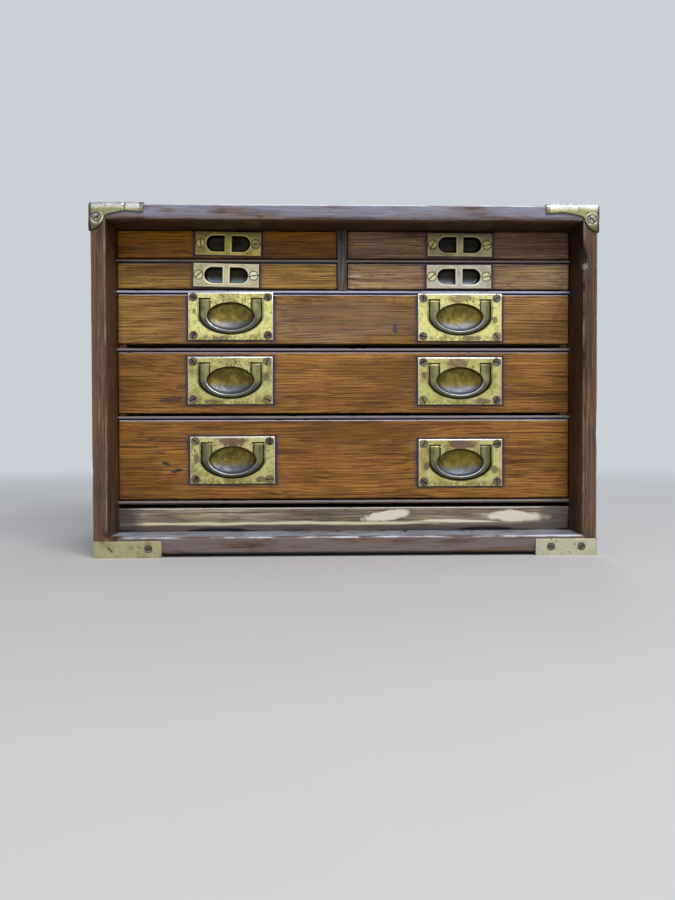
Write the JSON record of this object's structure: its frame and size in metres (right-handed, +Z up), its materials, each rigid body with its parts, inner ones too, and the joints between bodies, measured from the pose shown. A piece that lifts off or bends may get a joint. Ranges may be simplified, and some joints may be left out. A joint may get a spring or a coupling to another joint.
{
  "type": "haberdashery cabinet",
  "caption": "Table-top oak cabinet with small finger-pull drawers above full-width drawers with flush swinging handles, set back in a brass-cornered case.",
  "frame": {"origin": "on the floor at the middle of the footprint, brass included", "axes": "+X across the front to the viewer's right, +Y from the front to the back, +Z up"},
  "size_m": [0.512, 0.284, 0.3545],
  "materials": {
    "case_oak": "old dark oak, waxed, worn at the edges",
    "front_oak": "golden brown oak, shellac, horizontal grain",
    "blade_oak": "dark oak, polished by wear on its round edge",
    "drawer_wood": "unpolished oak, aged",
    "back_board": "plain board, stained and dusty",
    "bare_rail": "bare pale wood with dark worn bands",
    "plate_brass": "cast, pitted, polished high spots",
    "bail_brass": "dull, handled",
    "pull_brass": "satin, bright lips",
    "corner_brass": "pale, rubbed",
    "screw_steel": "dull slotted heads",
    "screw_brass": "slotted heads"
  },
  "bodies": {
    "carcase": {"top_board": "case_oak", "base_board": "case_oak", "left_side": "case_oak", "right_side": "case_oak", "centre_divider": "case_oak", "back_panel": "back_board", "base_rail": "bare_rail", "blade_below_deep": "blade_oak", "blade_below_middle": "blade_oak", "blade_below_shallow": "blade_oak", "blade_below_small": "blade_oak", "small_blade_left": "blade_oak", "small_blade_right": "blade_oak", "corner_cap_left": "corner_brass", "corner_cap_right": "corner_brass", "foot_cap_left": "corner_brass", "foot_cap_right": "corner_brass", "rear_corner_brass": "corner_brass", "corner_screws": "screw_steel"},
    "deep_drawer": {"deep_drawer_front": "front_oak", "deep_drawer_case": "drawer_wood", "deep_drawer_bottom": "drawer_wood", "deep_drawer_screws": "screw_steel", "deep_handle_plates": "plate_brass"},
    "deep_bail_left": {"deep_bail_left": "bail_brass"},
    "deep_bail_right": {"deep_bail_right": "bail_brass"},
    "middle_drawer": {"middle_drawer_front": "front_oak", "middle_drawer_case": "drawer_wood", "middle_drawer_bottom": "drawer_wood", "middle_drawer_screws": "screw_steel", "middle_handle_plates": "plate_brass"},
    "middle_bail_left": {"middle_bail_left": "bail_brass"},
    "middle_bail_right": {"middle_bail_right": "bail_brass"},
    "shallow_drawer": {"shallow_drawer_front": "front_oak", "shallow_drawer_case": "drawer_wood", "shallow_drawer_bottom": "drawer_wood", "shallow_drawer_screws": "screw_steel", "shallow_handle_plates": "plate_brass"},
    "shallow_bail_left": {"shallow_bail_left": "bail_brass"},
    "shallow_bail_right": {"shallow_bail_right": "bail_brass"},
    "lower_left_drawer": {"lower_left_drawer_front": "front_oak", "lower_left_drawer_case": "drawer_wood", "lower_left_drawer_bottom": "drawer_wood", "lower_left_drawer_screws": "screw_brass", "lower_left_finger_pull": "pull_brass"},
    "lower_right_drawer": {"lower_right_drawer_front": "front_oak", "lower_right_drawer_case": "drawer_wood", "lower_right_drawer_bottom": "drawer_wood", "lower_right_drawer_screws": "screw_brass", "lower_right_finger_pull": "pull_brass"},
    "upper_left_drawer": {"upper_left_drawer_front": "front_oak", "upper_left_drawer_case": "drawer_wood", "upper_left_drawer_bottom": "drawer_wood", "upper_left_drawer_screws": "screw_brass", "upper_left_finger_pull": "pull_brass"},
    "upper_right_drawer": {"upper_right_drawer_front": "front_oak", "upper_right_drawer_case": "drawer_wood", "upper_right_drawer_bottom": "drawer_wood", "upper_right_drawer_screws": "screw_brass", "upper_right_finger_pull": "pull_brass"}
  },
  "joints": [
    {"name": "deep_drawer_slide", "type": "slide", "parent": "carcase", "child": "deep_drawer", "axis": [0, -1, 0], "range_m": [0, 0.19]},
    {"name": "deep_bail_left_swing", "type": "hinge", "parent": "deep_drawer", "child": "deep_bail_left", "pos_m": [-0.1189, -0.0991, 0.11255], "axis": [-1, 0, 0], "range_deg": [0, 90]},
    {"name": "deep_bail_right_swing", "type": "hinge", "parent": "deep_drawer", "child": "deep_bail_right", "pos_m": [0.1224, -0.0991, 0.10905], "axis": [-1, 0, 0], "range_deg": [0, 90]},
    {"name": "middle_drawer_slide", "type": "slide", "parent": "carcase", "child": "middle_drawer", "axis": [0, -1, 0], "range_m": [0, 0.19]},
    {"name": "middle_bail_left_swing", "type": "hinge", "parent": "middle_drawer", "child": "middle_bail_left", "pos_m": [-0.1209, -0.0991, 0.19645], "axis": [-1, 0, 0], "range_deg": [0, 90]},
    {"name": "middle_bail_right_swing", "type": "hinge", "parent": "middle_drawer", "child": "middle_bail_right", "pos_m": [0.1218, -0.0991, 0.19565], "axis": [-1, 0, 0], "range_deg": [0, 90]},
    {"name": "shallow_drawer_slide", "type": "slide", "parent": "carcase", "child": "shallow_drawer", "axis": [0, -1, 0], "range_m": [0, 0.19]},
    {"name": "shallow_bail_left_swing", "type": "hinge", "parent": "shallow_drawer", "child": "shallow_bail_left", "pos_m": [-0.1202, -0.0991, 0.26395], "axis": [-1, 0, 0], "range_deg": [0, 90]},
    {"name": "shallow_bail_right_swing", "type": "hinge", "parent": "shallow_drawer", "child": "shallow_bail_right", "pos_m": [0.1218, -0.0991, 0.26295], "axis": [-1, 0, 0], "range_deg": [0, 90]},
    {"name": "lower_left_drawer_slide", "type": "slide", "parent": "carcase", "child": "lower_left_drawer", "axis": [0, -1, 0], "range_m": [0, 0.19]},
    {"name": "lower_right_drawer_slide", "type": "slide", "parent": "carcase", "child": "lower_right_drawer", "axis": [0, -1, 0], "range_m": [0, 0.19]},
    {"name": "upper_left_drawer_slide", "type": "slide", "parent": "carcase", "child": "upper_left_drawer", "axis": [0, -1, 0], "range_m": [0, 0.19]},
    {"name": "upper_right_drawer_slide", "type": "slide", "parent": "carcase", "child": "upper_right_drawer", "axis": [0, -1, 0], "range_m": [0, 0.19]}
  ]
}
